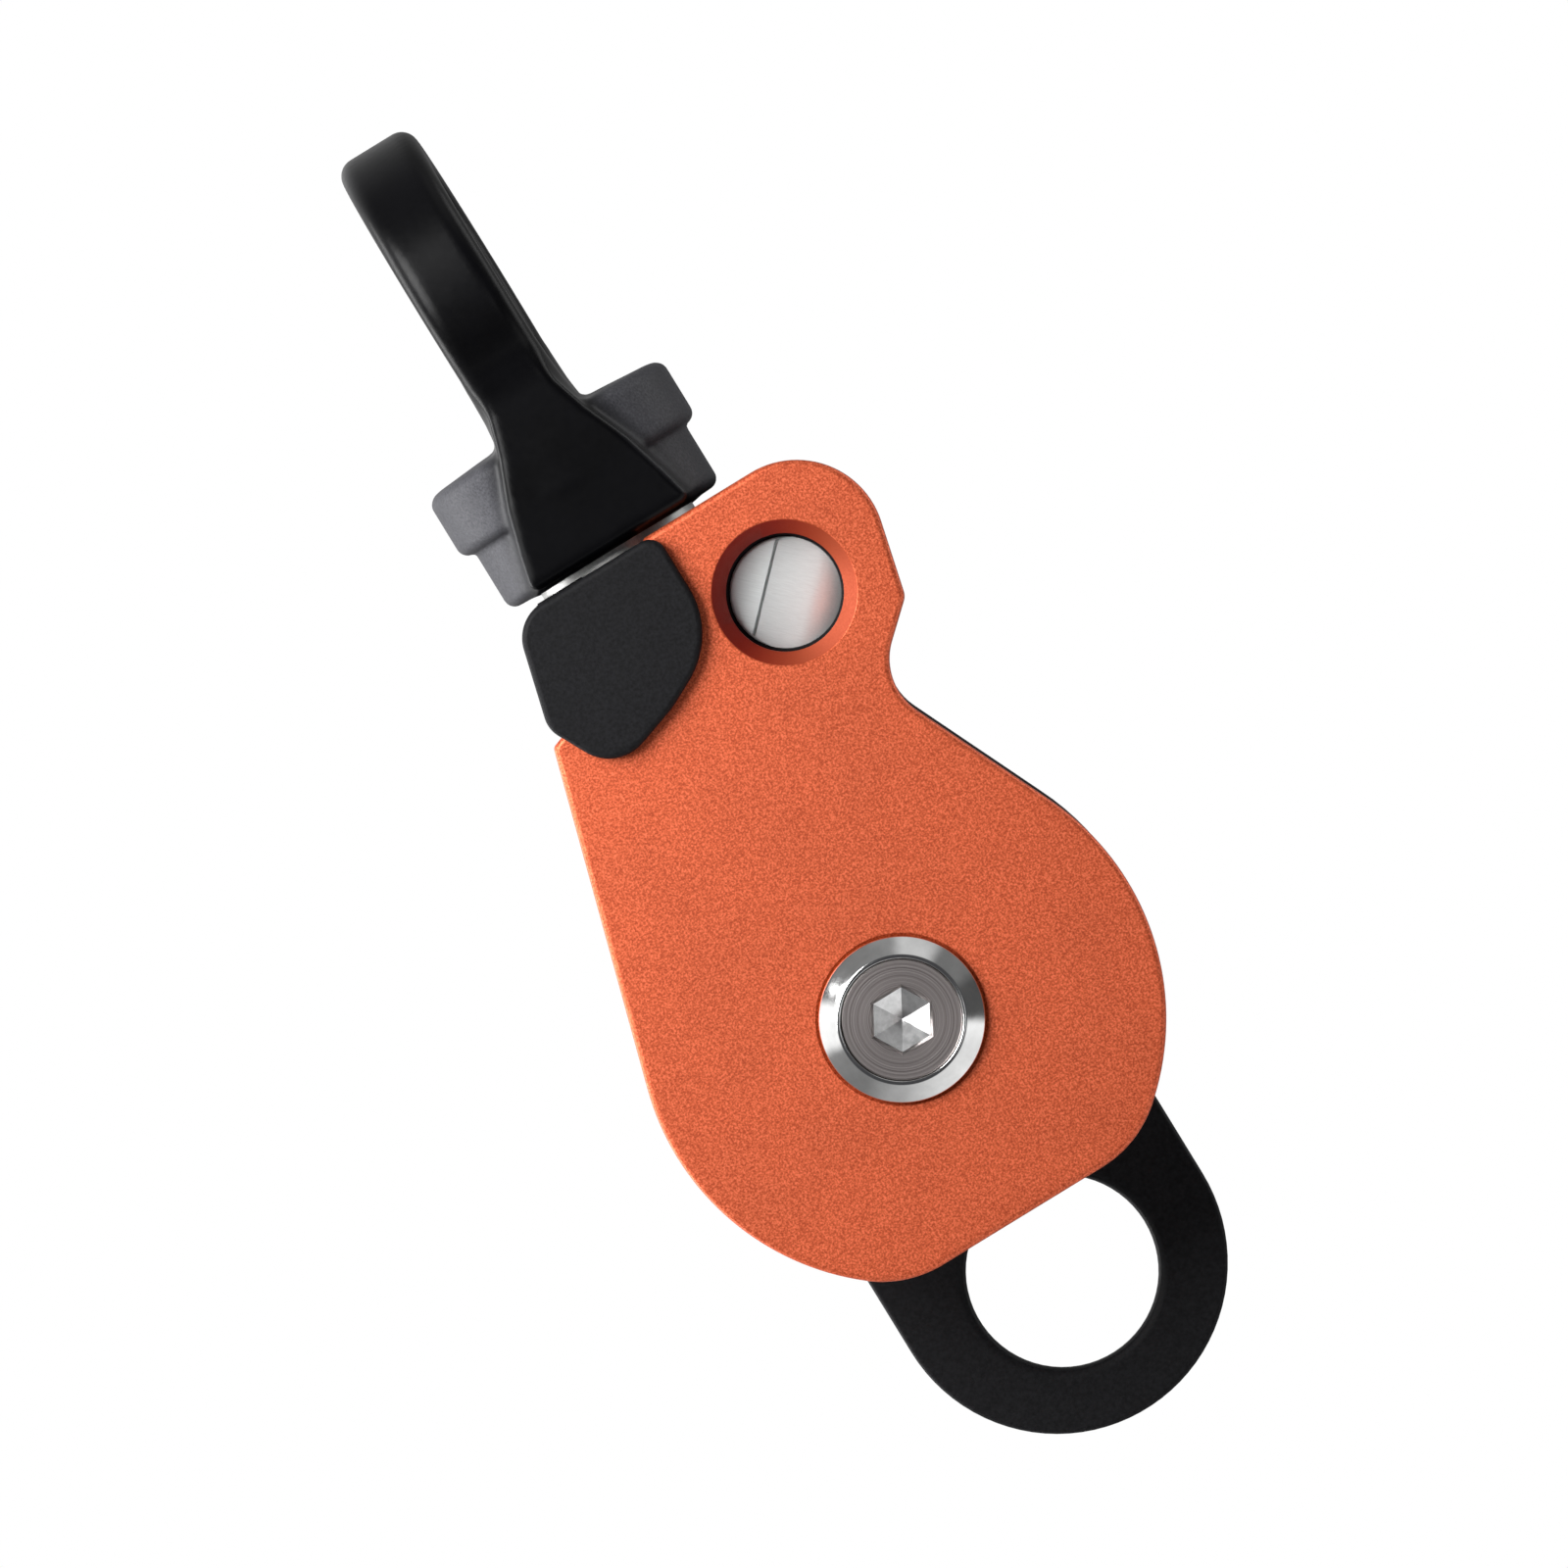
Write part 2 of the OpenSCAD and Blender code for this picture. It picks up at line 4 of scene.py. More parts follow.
import bmesh
import bpy
import numpy as np
from mathutils import Matrix, Vector


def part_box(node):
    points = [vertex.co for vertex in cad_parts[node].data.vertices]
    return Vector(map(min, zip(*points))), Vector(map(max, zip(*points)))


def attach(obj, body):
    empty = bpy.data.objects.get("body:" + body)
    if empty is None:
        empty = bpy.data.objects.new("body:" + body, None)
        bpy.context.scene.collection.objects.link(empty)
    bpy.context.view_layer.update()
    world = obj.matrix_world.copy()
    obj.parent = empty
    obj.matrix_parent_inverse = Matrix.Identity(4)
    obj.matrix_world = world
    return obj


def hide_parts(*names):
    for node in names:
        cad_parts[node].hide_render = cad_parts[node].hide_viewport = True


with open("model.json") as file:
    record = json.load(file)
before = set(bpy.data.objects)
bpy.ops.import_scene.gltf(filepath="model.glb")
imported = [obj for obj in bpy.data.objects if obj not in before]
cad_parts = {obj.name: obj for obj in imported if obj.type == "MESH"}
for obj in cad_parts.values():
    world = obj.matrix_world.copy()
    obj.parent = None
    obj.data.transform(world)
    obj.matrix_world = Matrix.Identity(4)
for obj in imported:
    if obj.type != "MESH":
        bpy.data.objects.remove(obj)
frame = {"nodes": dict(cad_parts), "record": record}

# A swivel pulley with a side plate that swings open, a release button and a becket.
# X is across, Y is depth with the front at low Y, and Z is up. Numbers are in mm, and are
# multiplied by MM where they reach Blender. A height is above the axle unless it says frame.
MM = 0.001
AXLE_Z = -86.5  # the axle's height in the frame
BUTTON = (12.5, 43.3)  # the button's place, (x, height)
BUTTON_Z = BUTTON[1] + AXLE_Z  # the same height in the frame
BUTTON_RIM_R = 7.4  # of the countersink round the button
FOOT_WIDE_AT = 57  # about the height where the eye's foot is widest
scene = bpy.context.scene
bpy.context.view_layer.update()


def depths(node):
    """The front and back of a CAD node."""
    low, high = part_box(node)
    return low[1] / MM, high[1] / MM


PLATE_FRONT, PLATE_BACK = depths("side_plate")
SCREW_FACE, SCREW_END = depths("axle_screw")


# ---------------------------------------------------------------- materials
class Tree:
    """Short calls to add nodes to a node tree."""

    def __init__(self, tree):
        self.t = tree

    def feed(self, socket, value):
        """Links the value to the socket, or sets it there if it is a plain number or colour."""
        if isinstance(value, bpy.types.NodeSocket):
            self.t.links.new(value, socket)
        else:
            socket.default_value = value

    def node(self, kind, **inputs):
        """A new node, with its inputs by name, or by number as i0, i1, ..."""
        n = self.t.nodes.new(kind)
        for k, v in inputs.items():
            key = int(k[1:]) if k[0] == "i" and k[1:].isdigit() else k
            self.feed(n.inputs[key], v)
        return n

    def math(self, op, a, b=0.0):
        n = self.t.nodes.new("ShaderNodeMath")
        n.operation = op
        for i, v in enumerate((a, b)):
            self.feed(n.inputs[i], v)
        return n.outputs[0]

    def ramp(self, fac, *stops):
        """A colour ramp through stops of (position, colour or grey)."""
        n = self.t.nodes.new("ShaderNodeValToRGB")
        self.t.links.new(fac, n.inputs[0])
        e = n.color_ramp.elements
        while len(e) < len(stops):
            e.new(0.5)
        for el, (p, c) in zip(e, stops):
            el.position = p
            el.color = (*c, 1) if isinstance(c, tuple) else (c, c, c, 1)
        return n.outputs["Color"]

    def mix(self, fac, a, b, how="MIX"):
        n = self.t.nodes.new("ShaderNodeMix")
        n.data_type = "RGBA"
        n.blend_type = how
        for i, v in ((0, fac), (6, a), (7, b)):  # where an RGBA mix has its factor, A and B
            self.feed(n.inputs[i], (*v, 1) if isinstance(v, tuple) else v)
        return n.outputs[2]

    def between(self, fac, low, high, start=0.0, end=1.0):
        """A number that goes from low to high as fac goes from start to end."""
        n = self.node("ShaderNodeMapRange", Value=fac, i1=start, i2=end, i3=low, i4=high)
        return n.outputs[0]


class Mat(Tree):
    """A Principled material. Its noise and places are in object coordinates."""

    def __init__(self, name, base, rough, metal=0.0, spec=0.5):
        self.m = bpy.data.materials.new(name)
        self.m.use_nodes = True
        super().__init__(self.m.node_tree)
        self.b = self.t.nodes["Principled BSDF"]
        self.b.inputs["Base Color"].default_value = (*base, 1)
        self.b.inputs["Roughness"].default_value = rough
        self.b.inputs["Metallic"].default_value = metal
        self.b.inputs["Specular IOR Level"].default_value = spec
        self.co = self.t.nodes.new("ShaderNodeTexCoord").outputs["Object"]
        self.height = None

    def stretched(self, turn, sx, sy, sz):
        """Object coordinates turned about Y by some degrees, then scaled."""
        angles = (0, math.radians(turn), 0)
        turned = self.node("ShaderNodeMapping", Rotation=angles, Vector=self.co)
        scaled = self.node("ShaderNodeVectorMath", i0=turned.outputs[0], i1=(sx, sy, sz))
        scaled.operation = "MULTIPLY"
        return scaled.outputs[0]

    def noise(self, per_mm, detail=2.0, rough=0.55, vector=None):
        at = self.co if vector is None else vector
        n = self.node(
            "ShaderNodeTexNoise", Scale=per_mm / MM, Detail=detail, Roughness=rough, Vector=at
        )
        return n.outputs["Fac"]

    def rings(self, per_mm, detail, rough):
        """Noise that varies only with the distance from the axle, as turning marks do."""
        n = self.node("ShaderNodeTexNoise", Scale=per_mm, Detail=detail, Roughness=rough)
        n.noise_dimensions = "1D"
        self.feed(n.inputs["W"], self.radius(0, AXLE_Z))
        return n.outputs["Fac"]

    def to(self, socket, value):
        self.t.links.new(value, self.b.inputs[socket])

    def xyz(self):
        """The place as three numbers, in metres."""
        return self.node("ShaderNodeSeparateXYZ", Vector=self.co).outputs

    def bump(self, height, depth, strength=1.0):
        """Adds a bump on top of those already there."""
        n = self.node("ShaderNodeBump", Height=height, Distance=depth * MM, Strength=strength)
        if self.height is not None:
            self.t.links.new(self.height, n.inputs["Normal"])
        self.height = n.outputs[0]
        self.to("Normal", self.height)

    def radius(self, x, z):
        """Distance in mm from a line along Y, at x and z in the frame."""
        at = self.xyz()
        dx = self.math("SUBTRACT", at[0], x * MM)
        dz = self.math("SUBTRACT", at[2], z * MM)
        sq = self.math("ADD", self.math("MULTIPLY", dx, dx), self.math("MULTIPLY", dz, dz))
        return self.math("DIVIDE", self.math("SQRT", sq), MM)


def orange_anodised():
    m = Mat("orange_anodised", (0.66, 0.12, 0.035), 0.42, 0.55)
    grain = m.noise(4.6, 2, 0.6)
    cloud = m.noise(0.10, 2, 0.5)
    dark, middle, light = (0.46, 0.066, 0.022), (0.67, 0.118, 0.042), (0.90, 0.19, 0.082)
    fine = m.ramp(grain, (0.34, dark), (0.50, middle), (0.66, light))
    wide = m.ramp(cloud, (0.35, 0.92), (0.65, 1.0))
    face = m.mix(1.0, fine, wide, "MULTIPLY")
    # painted shade: the countersink's colour is darker than the face's, most of all on its deep
    # side, towards +Z and -X
    cut = m.math("LESS_THAN", m.radius(BUTTON[0], BUTTON_Z), BUTTON_RIM_R + 0.02)
    at = m.xyz()
    across = m.math("SUBTRACT", at[2], at[0])
    middle_line = BUTTON_Z - BUTTON[0]
    deep = m.between(across, 0.0, 1.0, (middle_line - 5) * MM, (middle_line + 4) * MM)
    # the countersink's painted shade, from its lighter side to its darkest side
    cone = m.mix(deep, (0.37, 0.060, 0.020), (0.30, 0.014, 0.002))
    m.to("Base Color", m.mix(cut, face, cone))
    m.to("Roughness", m.math("MULTIPLY", m.between(grain, 0.36, 0.52), m.between(cut, 1.0, 1.4)))
    m.bump(grain, 0.03, 0.45)
    return m.m


def black_blasted():
    m = Mat("black_blasted", (0.006, 0.006, 0.007), 0.55, 0.0, 0.14)
    grain = m.noise(3.0, 3, 0.65)
    m.to("Base Color", m.ramp(grain, (0.3, (0.003, 0.003, 0.0035)), (0.7, (0.010, 0.010, 0.0115))))
    m.to("Roughness", m.between(grain, 0.50, 0.66))
    m.bump(grain, 0.02, 0.4)
    return m.m


def black_satin():
    m = Mat("black_satin", (0.002, 0.002, 0.0025), 0.38, 0.0, 0.14)
    grain = m.noise(1.6, 3, 0.6)
    cloud = m.noise(0.12, 2)
    smooth = m.ramp(cloud, (0.3, (0.0010, 0.0010, 0.0013)), (0.7, (0.0021, 0.0021, 0.0028)))
    # painted reflection: the hub's sides get a lighter grey colour, standing in for the bright
    # surroundings they mirror at a glancing angle, and are rougher; the ring and its foot keep the
    # near-black colour and are smoother
    painted_hub_sheen = m.ramp(
        m.noise(4.0, 2, 0.6), (0.3, (0.035, 0.035, 0.040)), (0.7, (0.070, 0.070, 0.078))
    )
    at = m.xyz()
    away = m.math("ABSOLUTE", at[0])
    # the foot narrows by 0.27 mm on each side for each mm of height
    above = m.math("SUBTRACT", at[2], (FOOT_WIDE_AT + AXLE_Z) * MM)
    taper = m.math("MULTIPLY", above, 0.27)
    beside = m.between(m.math("ADD", away, taper), 0.0, 1.0, 8.9 * MM, 11.2 * MM)
    # and the ring above it is no wider than 5.2 mm from the middle
    hub = m.math("MINIMUM", beside, m.between(away, 0.0, 1.0, 5.2 * MM, 6.2 * MM))
    # the hub's painted reflection goes on its sides only
    m.to("Base Color", m.mix(hub, smooth, painted_hub_sheen))
    m.to("Roughness", m.math("ADD", m.between(grain, 0.27, 0.39), m.between(hub, 0.0, 0.18)))
    m.bump(grain, 0.025, 0.25)
    m.bump(m.noise(0.25, 2), 0.05, 0.25)
    return m.m


def polished():
    m = Mat("polished_steel", (0.70, 0.70, 0.695), 0.10, 1.0)
    marks = m.rings(14.0, 2.0, 0.5)
    m.to("Roughness", m.between(marks, 0.06, 0.20))
    m.bump(marks, 0.004, 0.5)
    smear = m.noise(0.35, 3)
    m.to("Base Color", m.ramp(smear, (0.3, (0.62, 0.62, 0.615)), (0.7, (0.76, 0.76, 0.755))))
    return m.m


def turned():
    m = Mat("turned_steel", (0.36, 0.33, 0.32), 0.34, 1.0)
    marks = m.rings(5.0, 4.0, 0.7)
    dark, middle, light = (0.285, 0.250, 0.242), (0.39, 0.350, 0.340), (0.53, 0.485, 0.470)
    face = m.ramp(marks, (0.3, dark), (0.5, middle), (0.7, light))
    # the socket's point is lighter and smoother than its walls
    start, end = (SCREW_FACE + 0.52) * MM, (SCREW_FACE + 0.62) * MM
    point = m.between(m.xyz()[1], 0.0, 1.0, start, end)
    smear = m.noise(0.8, 3)
    m.to("Base Color", m.mix(point, face, m.ramp(smear, (0.3, 0.66), (0.7, 0.88))))
    m.to("Roughness", m.mix(point, m.between(marks, 0.26, 0.46), m.between(smear, 0.16, 0.30)))
    m.bump(m.math("MULTIPLY", marks, m.between(point, 1.0, 0.0)), 0.02, 0.6)
    return m.m


def shades(base, spread):
    """The base colour made darker and lighter by a share of itself."""
    return tuple(c * (1 - spread) for c in base), tuple(min(1, c * (1 + spread)) for c in base)


def brushed(name, base, turn, spread, rough, metal):
    """Metal with straight brush lines in the X-Z plane."""
    m = Mat(name, base, rough, metal)
    lines = m.noise(1.0, 4, 0.7, m.stretched(turn, 0.35, 6, 9))
    dark, light = shades(base, spread)
    m.to("Base Color", m.ramp(lines, (0.3, dark), (0.7, light)))
    m.to("Roughness", m.between(lines, rough * 0.8, rough * 1.2))
    m.bump(lines, 0.012, 0.4)
    return m.m


def machined(name, base, rough=0.3):
    """Turned metal seen only in gaps and from behind."""
    m = Mat(name, base, rough, 1.0)
    fine = m.noise(2.5, 3, 0.6, m.stretched(0, 1, 6, 1))
    m.to("Base Color", m.ramp(fine, (0.3, shades(base, 0.15)[0]), (0.7, shades(base, 0.12)[1])))
    m.to("Roughness", m.between(fine, rough * 0.8, rough * 1.3))
    m.bump(fine, 0.012, 0.4)
    return m.m


def rubber():
    m = Mat("seal_rubber", (0.02, 0.02, 0.022), 0.6, 0.0, 0.4)
    fine = m.noise(2.0, 3)
    m.to("Base Color", m.ramp(fine, (0.3, 0.014), (0.7, 0.028)))
    m.to("Roughness", m.between(fine, 0.5, 0.7))
    m.bump(fine, 0.02, 0.3)
    return m.m


MATS = {
    "orange": orange_anodised(),
    "frame_black": black_blasted(),
    "eye_black": black_satin(),
    "polished_steel": polished(),
    "turned_steel": turned(),
    "button_steel": brushed("button_brushed", (0.71, 0.75, 0.745), -45, 0.07, 0.48, 0.35),
    "steel": machined("ground_steel", (0.60, 0.60, 0.59), 0.42),
    "dark_steel": machined("dark_steel", (0.20, 0.20, 0.21), 0.36),
    "bronze": machined("bronze", (0.50, 0.31, 0.12), 0.40),
    "alloy": machined("turned_alloy", (0.56, 0.57, 0.59), 0.30),
    "seal": rubber(),
}
SLOT_OF = {s["node"]: s["material_slot"] for s in frame["record"]["subparts"]}
for name, obj in frame["nodes"].items():
    obj.data.materials.clear()
    obj.data.materials.append(MATS[SLOT_OF[name]])


# ---------------------------------------------------------------- mesh helpers
# vertices closer than this are one, in metres: on a CAD mesh, a filled curve, and a turned piece
CAD_MERGE, CURVE_MERGE, LATHE_MERGE = 2e-6, 1e-6, 1e-7


def stand_for(obj, node, body):
    """The object rides on the body and is shown in the node's place."""
    obj.data.materials.append(MATS[SLOT_OF[node]])
    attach(obj, body)
    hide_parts(node)
    return obj


def object_from(name, bm, smooth_deg=40):
    """The bmesh as an object, shaded smooth but for edges sharper than smooth_deg."""
    mesh = bpy.data.meshes.new(name)
    bm.normal_update()
    limit = math.radians(smooth_deg)
    for f in bm.faces:
        f.smooth = True
    for e in bm.edges:
        e.smooth = not (len(e.link_faces) == 2 and e.calc_face_angle(0) > limit)
    bm.to_mesh(mesh)
    bm.free()
    obj = bpy.data.objects.new(name, mesh)
    scene.collection.objects.link(obj)
    return obj


def flat_shaded(obj):
    """Keeps the shading of flat faces flat beside their rounded edges."""
    flat = obj.modifiers.new("shade", "WEIGHTED_NORMAL")
    flat.keep_sharp = True
    flat.weight = 80
    return obj


def softened(node, body, width, segments=3, least_deg=28, keep=None, first=None, last=None):
    """A copy of a CAD node, in its place, with its edges rounded over.

    Only edges sharper than least_deg that keep(edge) allows are rounded. first and last work on
    the mesh before and after that.
    """
    bm = bmesh.new()
    bm.from_mesh(frame["nodes"][node].data)
    if first:
        first(bm)
    bmesh.ops.remove_doubles(bm, verts=bm.verts, dist=CAD_MERGE)
    bmesh.ops.dissolve_limit(
        bm, angle_limit=math.radians(0.4), use_dissolve_boundaries=False,
        verts=bm.verts, edges=bm.edges, delimit=set()
    )
    limit = math.radians(least_deg)
    edges = [
        e for e in bm.edges
        if len(e.link_faces) == 2 and e.calc_face_angle(0) > limit and (keep is None or keep(e))
    ]
    bmesh.ops.bevel(
        bm, geom=edges, offset=width * MM, offset_type="OFFSET", segments=segments,
        profile=0.5, affect="EDGES", clamp_overlap=False,
        miter_outer="ARC", miter_inner="SHARP",
    )
    bmesh.ops.triangulate(bm, faces=[f for f in bm.faces if len(f.verts) > 4])
    if last:
        last(bm)
    return stand_for(flat_shaded(object_from(node + "_rounded", bm)), node, body)


def fillet(path, step_deg=6):
    """The path's points (u, v, radius) as points (u, v), with each corner rounded."""
    out = []
    n = len(path)
    for i in range(n):
        x, z, r = path[i]
        p = np.array((x, z), float)
        if r <= 0:
            out.append(tuple(p))
            continue
        a = np.array(path[i - 1][:2], float) - p
        b = np.array(path[(i + 1) % n][:2], float) - p
        a /= np.linalg.norm(a)
        b /= np.linalg.norm(b)
        half = math.acos(float(np.clip(a @ b, -1, 1))) / 2
        mid = a + b
        mid /= np.linalg.norm(mid)
        c = p + mid * r / math.sin(half)
        s = p + a * r / math.tan(half) - c
        e = p + b * r / math.tan(half) - c
        t0 = math.atan2(s[1], s[0])
        d = math.atan2(e[1], e[0]) - t0
        d = (d + math.pi) % (2 * math.pi) - math.pi
        k = max(2, int(abs(math.degrees(d)) / step_deg) + 1)
        angles = [t0 + d * j / k for j in range(k + 1)]
        out += [(c[0] + r * math.cos(t), c[1] + r * math.sin(t)) for t in angles]
    return out


def band(bm, a, b):
    """Joins two closed rings of vertices by four-sided faces."""
    n = len(a)
    for j in range(n):
        bm.faces.new((a[j], a[(j + 1) % n], b[(j + 1) % n], b[j]))


def lathe(name, path, centre=(0, AXLE_Z), steps=128):
    """Turns a closed path of (radius, depth, corner radius) about an axis along Y."""
    profile = fillet(path)
    bm = bmesh.new()
    rings = []
    for k in range(steps):
        a = 2 * math.pi * k / steps
        c, s = math.cos(a), math.sin(a)
        rings.append([
            bm.verts.new(((centre[0] + r * c) * MM, y * MM, (centre[1] + r * s) * MM))
            for r, y in profile
        ])
    for k in range(steps):
        band(bm, rings[k], rings[(k + 1) % steps])
    bmesh.ops.remove_doubles(bm, verts=bm.verts, dist=LATHE_MERGE)
    bmesh.ops.recalc_face_normals(bm, faces=bm.faces)
    return object_from(name, bm, 30)


# ---------------------------------------------------------------- the eye, as one smooth forging
# A rounded rectangle each, as (middle, half size, middle, half size, rounding): of the ring, in
# distance from the hole's centre and in X; of the hub, in distance from its axis and in height.
RING = (14.9, 2.9, 0.0, 4.4, 1.9)
COLLAR = (0.0, 12.6, 60.4, 4.0, 1.2)
FLANGE = (0.0, 14.0, 66.9, 3.55, 1.25)
HOLE_R = 12.0
DOME_R, DOME_CENTRE = 101.3, -30.0  # the hub's slightly domed top, and the height of its centre
DOME_RIM_R, DOME_FROM = 13.2, 66
FOOT_MIDDLE, FOOT_HALF = 67.0, 10.5  # the foot's middle height, and half its height
# (height, half the foot's width) and (height, half its depth)
FOOT_WIDTHS = (
    (56, 9.3), (57.2, 9.4), (60.5, 8.6), (65, 7.3), (67.5, 6.3), (70, 5.25),
    (72, 4.6), (74, 4.0), (77, 3.5), (80, 3.3),
)
FOOT_DEPTHS = ((56, 13.8), (58, 14.0), (62, 14.3), (68, 14.7), (74, 15.0), (80, 15.2))
ROOM_R, ROOM_TOP = 10.0, 69.0  # the room inside for the bearing
NET_LOW, NET_HIGH = (-15.2, -19.2, -31.2), (15.2, 19.2, 18.9)  # the box round the eye
NET_STEP, QUICK_NET_STEP = 0.42, 0.8


def smooth_min(a, b, k):
    """The lower of two fields, blended over a width of k."""
    h = np.clip(0.5 + 0.5 * (b - a) / k, 0, 1)
    return b + (a - b) * h - k * h * (1 - h)


def smooth_max(a, b, k):
    return -smooth_min(-a, -b, k)


def rounded_box(u, v, mid_u, half_u, mid_v, half_v, r):
    """Distance to a rounded rectangle."""
    qu = np.abs(u - mid_u) - half_u + r
    qv = np.abs(v - mid_v) - half_v + r
    outside = np.hypot(np.maximum(qu, 0), np.maximum(qv, 0))
    return outside + np.minimum(np.maximum(qu, qv), 0) - r


def eye_field(x, y, z):
    """Distance to the eye's surface. The centre of its hole is the frame's zero."""
    height = z - AXLE_Z
    about_x = np.hypot(y, z)
    about_z = np.hypot(x, y)
    ring = rounded_box(about_x, x, *RING)
    collar = rounded_box(about_z, height, *COLLAR)
    flange = rounded_box(about_z, height, *FLANGE)
    dome = np.maximum(np.hypot(about_z, height - DOME_CENTRE) - DOME_R, DOME_FROM - height)
    cap = smooth_max(dome, about_z - DOME_RIM_R, 1.2)
    hub = smooth_min(smooth_min(collar, flange, 0.5), cap, 0.5)
    half_w = np.interp(height, *zip(*FOOT_WIDTHS))
    half_d = np.interp(height, *zip(*FOOT_DEPTHS))
    foot = rounded_box(x, y, 0.0, half_w, 0.0, half_d, 0.9)
    foot = smooth_max(foot, np.abs(height - FOOT_MIDDLE) - FOOT_HALF, 1.2)
    foot = smooth_max(foot, HOLE_R - about_x, 1.6)
    solid = smooth_min(smooth_min(ring, foot, 1.6), hub, 1.1)
    room = np.maximum(about_z - ROOM_R, height - ROOM_TOP)
    return np.maximum(solid, -room)


def surface_net(field, low, high, step):
    """Meshes where the field is zero, then draws each vertex onto that surface.

    Each cell of the grid that the surface passes through gets one vertex, in the middle of where
    the surface cuts the cell's edges. Each grid edge that it cuts gets a face of four vertices.
    """
    axes = [np.arange(a, b + step, step) for a, b in zip(low, high)]
    f = field(*np.meshgrid(*axes, indexing="ij"))
    inside = f < 0
    shape = tuple(n - 1 for n in f.shape)
    corners = [(i, j, k) for i in (0, 1) for j in (0, 1) for k in (0, 1)]

    def at_corner(a, c):
        """The array's value at one corner of every cell."""
        return a[tuple(slice(o, o + n) for o, n in zip(c, shape))]

    count = sum(at_corner(inside, c).astype(int) for c in corners)
    mixed = (count > 0) & (count < 8)
    total = np.zeros(shape + (3,))
    hits = np.zeros(shape)
    for c in corners:
        for ax in range(3):
            if c[ax]:
                continue
            d = list(c)
            d[ax] = 1
            fa, fb = at_corner(f, c), at_corner(f, d)
            cross = (fa < 0) != (fb < 0)
            t = np.where(cross, fa / np.where(cross, fa - fb, 1), 0)
            for q in range(3):
                total[..., q] += np.where(cross, c[q] + (t if q == ax else 0), 0)
            hits += cross
    ids = np.full(shape, -1)
    ids[mixed] = np.arange(mixed.sum())
    middles = np.argwhere(mixed) + total[mixed] / hits[mixed][:, None]
    pts = middles * step + np.array([a[0] for a in axes])
    quads = []
    for ax in range(3):
        u, v = [(1, 2), (2, 0), (0, 1)][ax]
        a = inside[tuple(slice(0, -1) if q == ax else slice(None) for q in range(3))]
        b = inside[tuple(slice(1, None) if q == ax else slice(None) for q in range(3))]
        for way in (True, False):
            for e in np.argwhere((a != b) & (a == way)):
                if e[u] == 0 or e[v] == 0 or e[u] >= shape[u] or e[v] >= shape[v]:
                    continue
                ring = []
                for du, dv in ((0, 0), (-1, 0), (-1, -1), (0, -1)):
                    c = e.copy()
                    c[u] += du
                    c[v] += dv
                    ring.append(int(ids[tuple(c)]))
                quads.append(ring if way else ring[::-1])
    nudge, least, furthest = 0.02, 0.25, 0.3
    for _ in range(4):
        d = field(*pts.T)
        slope = np.stack([
            field(*(pts + way).T) - field(*(pts - way).T) for way in np.eye(3) * nudge
        ], 1) / (2 * nudge)
        size = np.maximum((slope ** 2).sum(1), least)
        pts = pts - np.clip(d / size, -furthest, furthest)[:, None] * slope
    return pts, quads


def make_eye():
    step = NET_STEP
    pts, quads = surface_net(eye_field, NET_LOW, NET_HIGH, step)
    bm = bmesh.new()
    verts = [bm.verts.new(p * MM) for p in pts]
    for q in quads:
        if len(set(q)) == 4 and min(q) >= 0:
            bm.faces.new([verts[i] for i in q])
    bmesh.ops.recalc_face_normals(bm, faces=bm.faces)
    return object_from("swivel_eye_forging", bm, 50)


stand_for(make_eye(), "swivel_eye", "eye")


# ---------------------------------------------------------------- plates
def arc(cx, cz, r, a0, a1, step_deg=2.0):
    """Points (x, height, 0) on an arc from angle a0 to a1, in degrees anticlockwise from +X."""
    k = max(2, int(abs(a1 - a0) / step_deg))
    angles = [math.radians(a0 + (a1 - a0) * j / k) for j in range(k + 1)]
    return [(cx + r * math.cos(a), cz + r * math.sin(a), 0) for a in angles]


def slab(name, loop, y0, y1, bevel):
    """A flat piece between depths y0 and y1, with rounded rims. Its loop is of (x, height)."""
    curve = bpy.data.curves.new(name, "CURVE")
    curve.dimensions = "2D"
    curve.fill_mode = "BOTH"
    curve.bevel_depth = bevel * MM
    curve.bevel_resolution = 3
    curve.offset = -bevel * MM
    curve.extrude = (abs(y1 - y0) / 2 - bevel) * MM
    outline = curve.splines.new("POLY")
    outline.points.add(len(loop) - 1)
    for p, (x, z) in zip(outline.points, loop):
        p.co = (x * MM, (z + AXLE_Z) * MM, 0, 1)
    outline.use_cyclic_u = True
    obj = bpy.data.objects.new(name, curve)
    scene.collection.objects.link(obj)
    bpy.context.view_layer.update()
    shown = obj.evaluated_get(bpy.context.evaluated_depsgraph_get())
    mesh = bpy.data.meshes.new_from_object(shown)
    bpy.data.objects.remove(obj)
    bm = bmesh.new()
    bm.from_mesh(mesh)
    bmesh.ops.remove_doubles(bm, verts=bm.verts, dist=CURVE_MERGE)
    mid = (y0 + y1) / 2 * MM
    for v in bm.verts:
        v.co = (v.co.x, mid - v.co.z, v.co.y)
    bmesh.ops.recalc_face_normals(bm, faces=bm.faces)
    return bm


